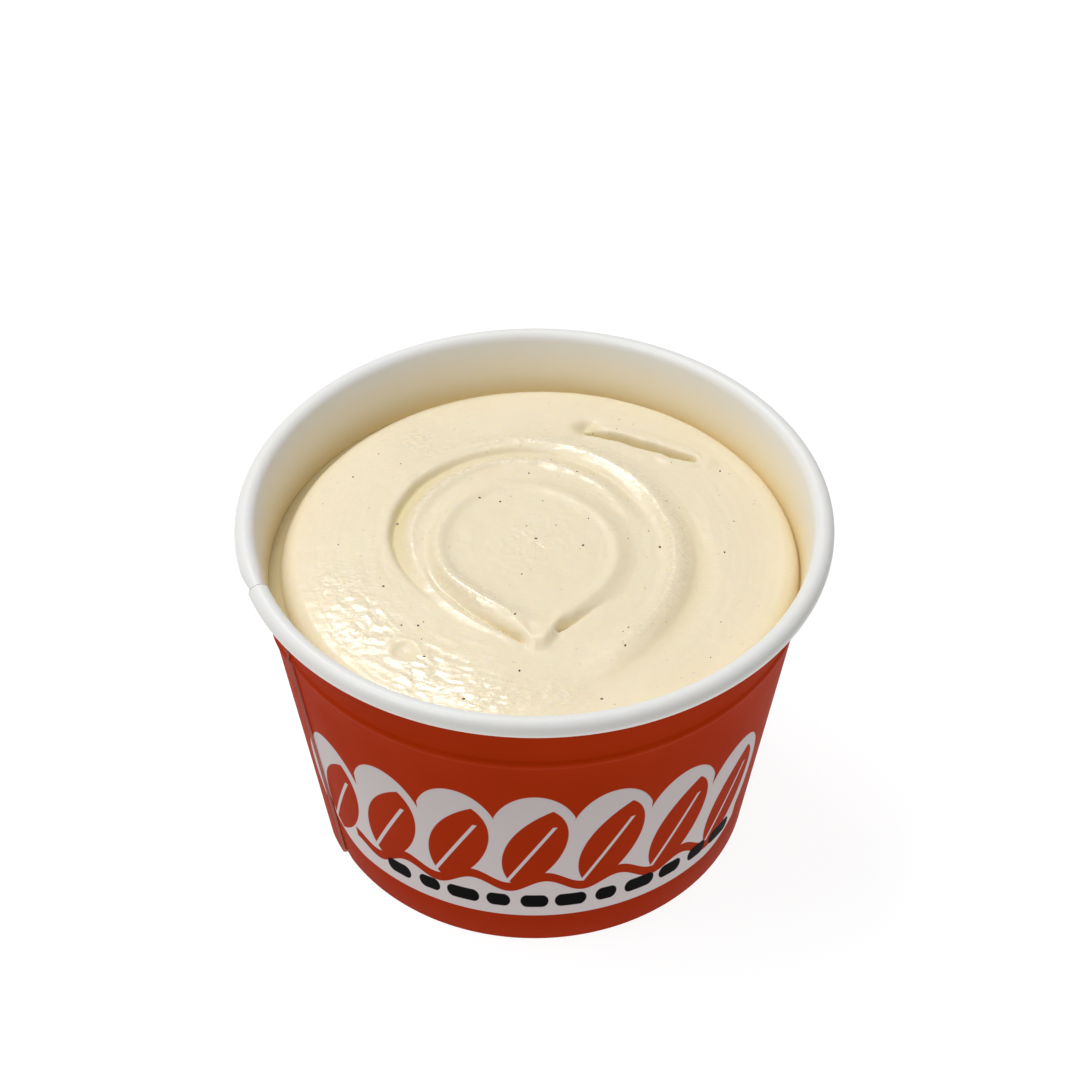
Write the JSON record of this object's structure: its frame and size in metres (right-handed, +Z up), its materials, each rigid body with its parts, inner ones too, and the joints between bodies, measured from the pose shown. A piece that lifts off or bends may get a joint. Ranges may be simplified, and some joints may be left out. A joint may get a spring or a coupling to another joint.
{
  "type": "gelato cup",
  "caption": "Round tapered paper cup with a rolled brim and recessed base, filled with vanilla gelato smoothed into a spiral with a raised dab at its centre.",
  "frame": {"origin": "centre of the foot ring, on the surface that the cup stands on", "axes": "+Z up along the cup's axis, -Y towards the front, +X to the right"},
  "size_m": [0.096, 0.096, 0.063],
  "materials": {
    "printed_board": "coated cup board, printed orange with a pale field, satin",
    "plain_board": "uncoated white cup board",
    "gelato": "smooth ivory gelato with a soft gloss and fine vanilla specks"
  },
  "bodies": {
    "root": {"cup_wall": "printed_board", "cup_base": "plain_board", "gelato": "gelato"}
  },
  "joints": []
}
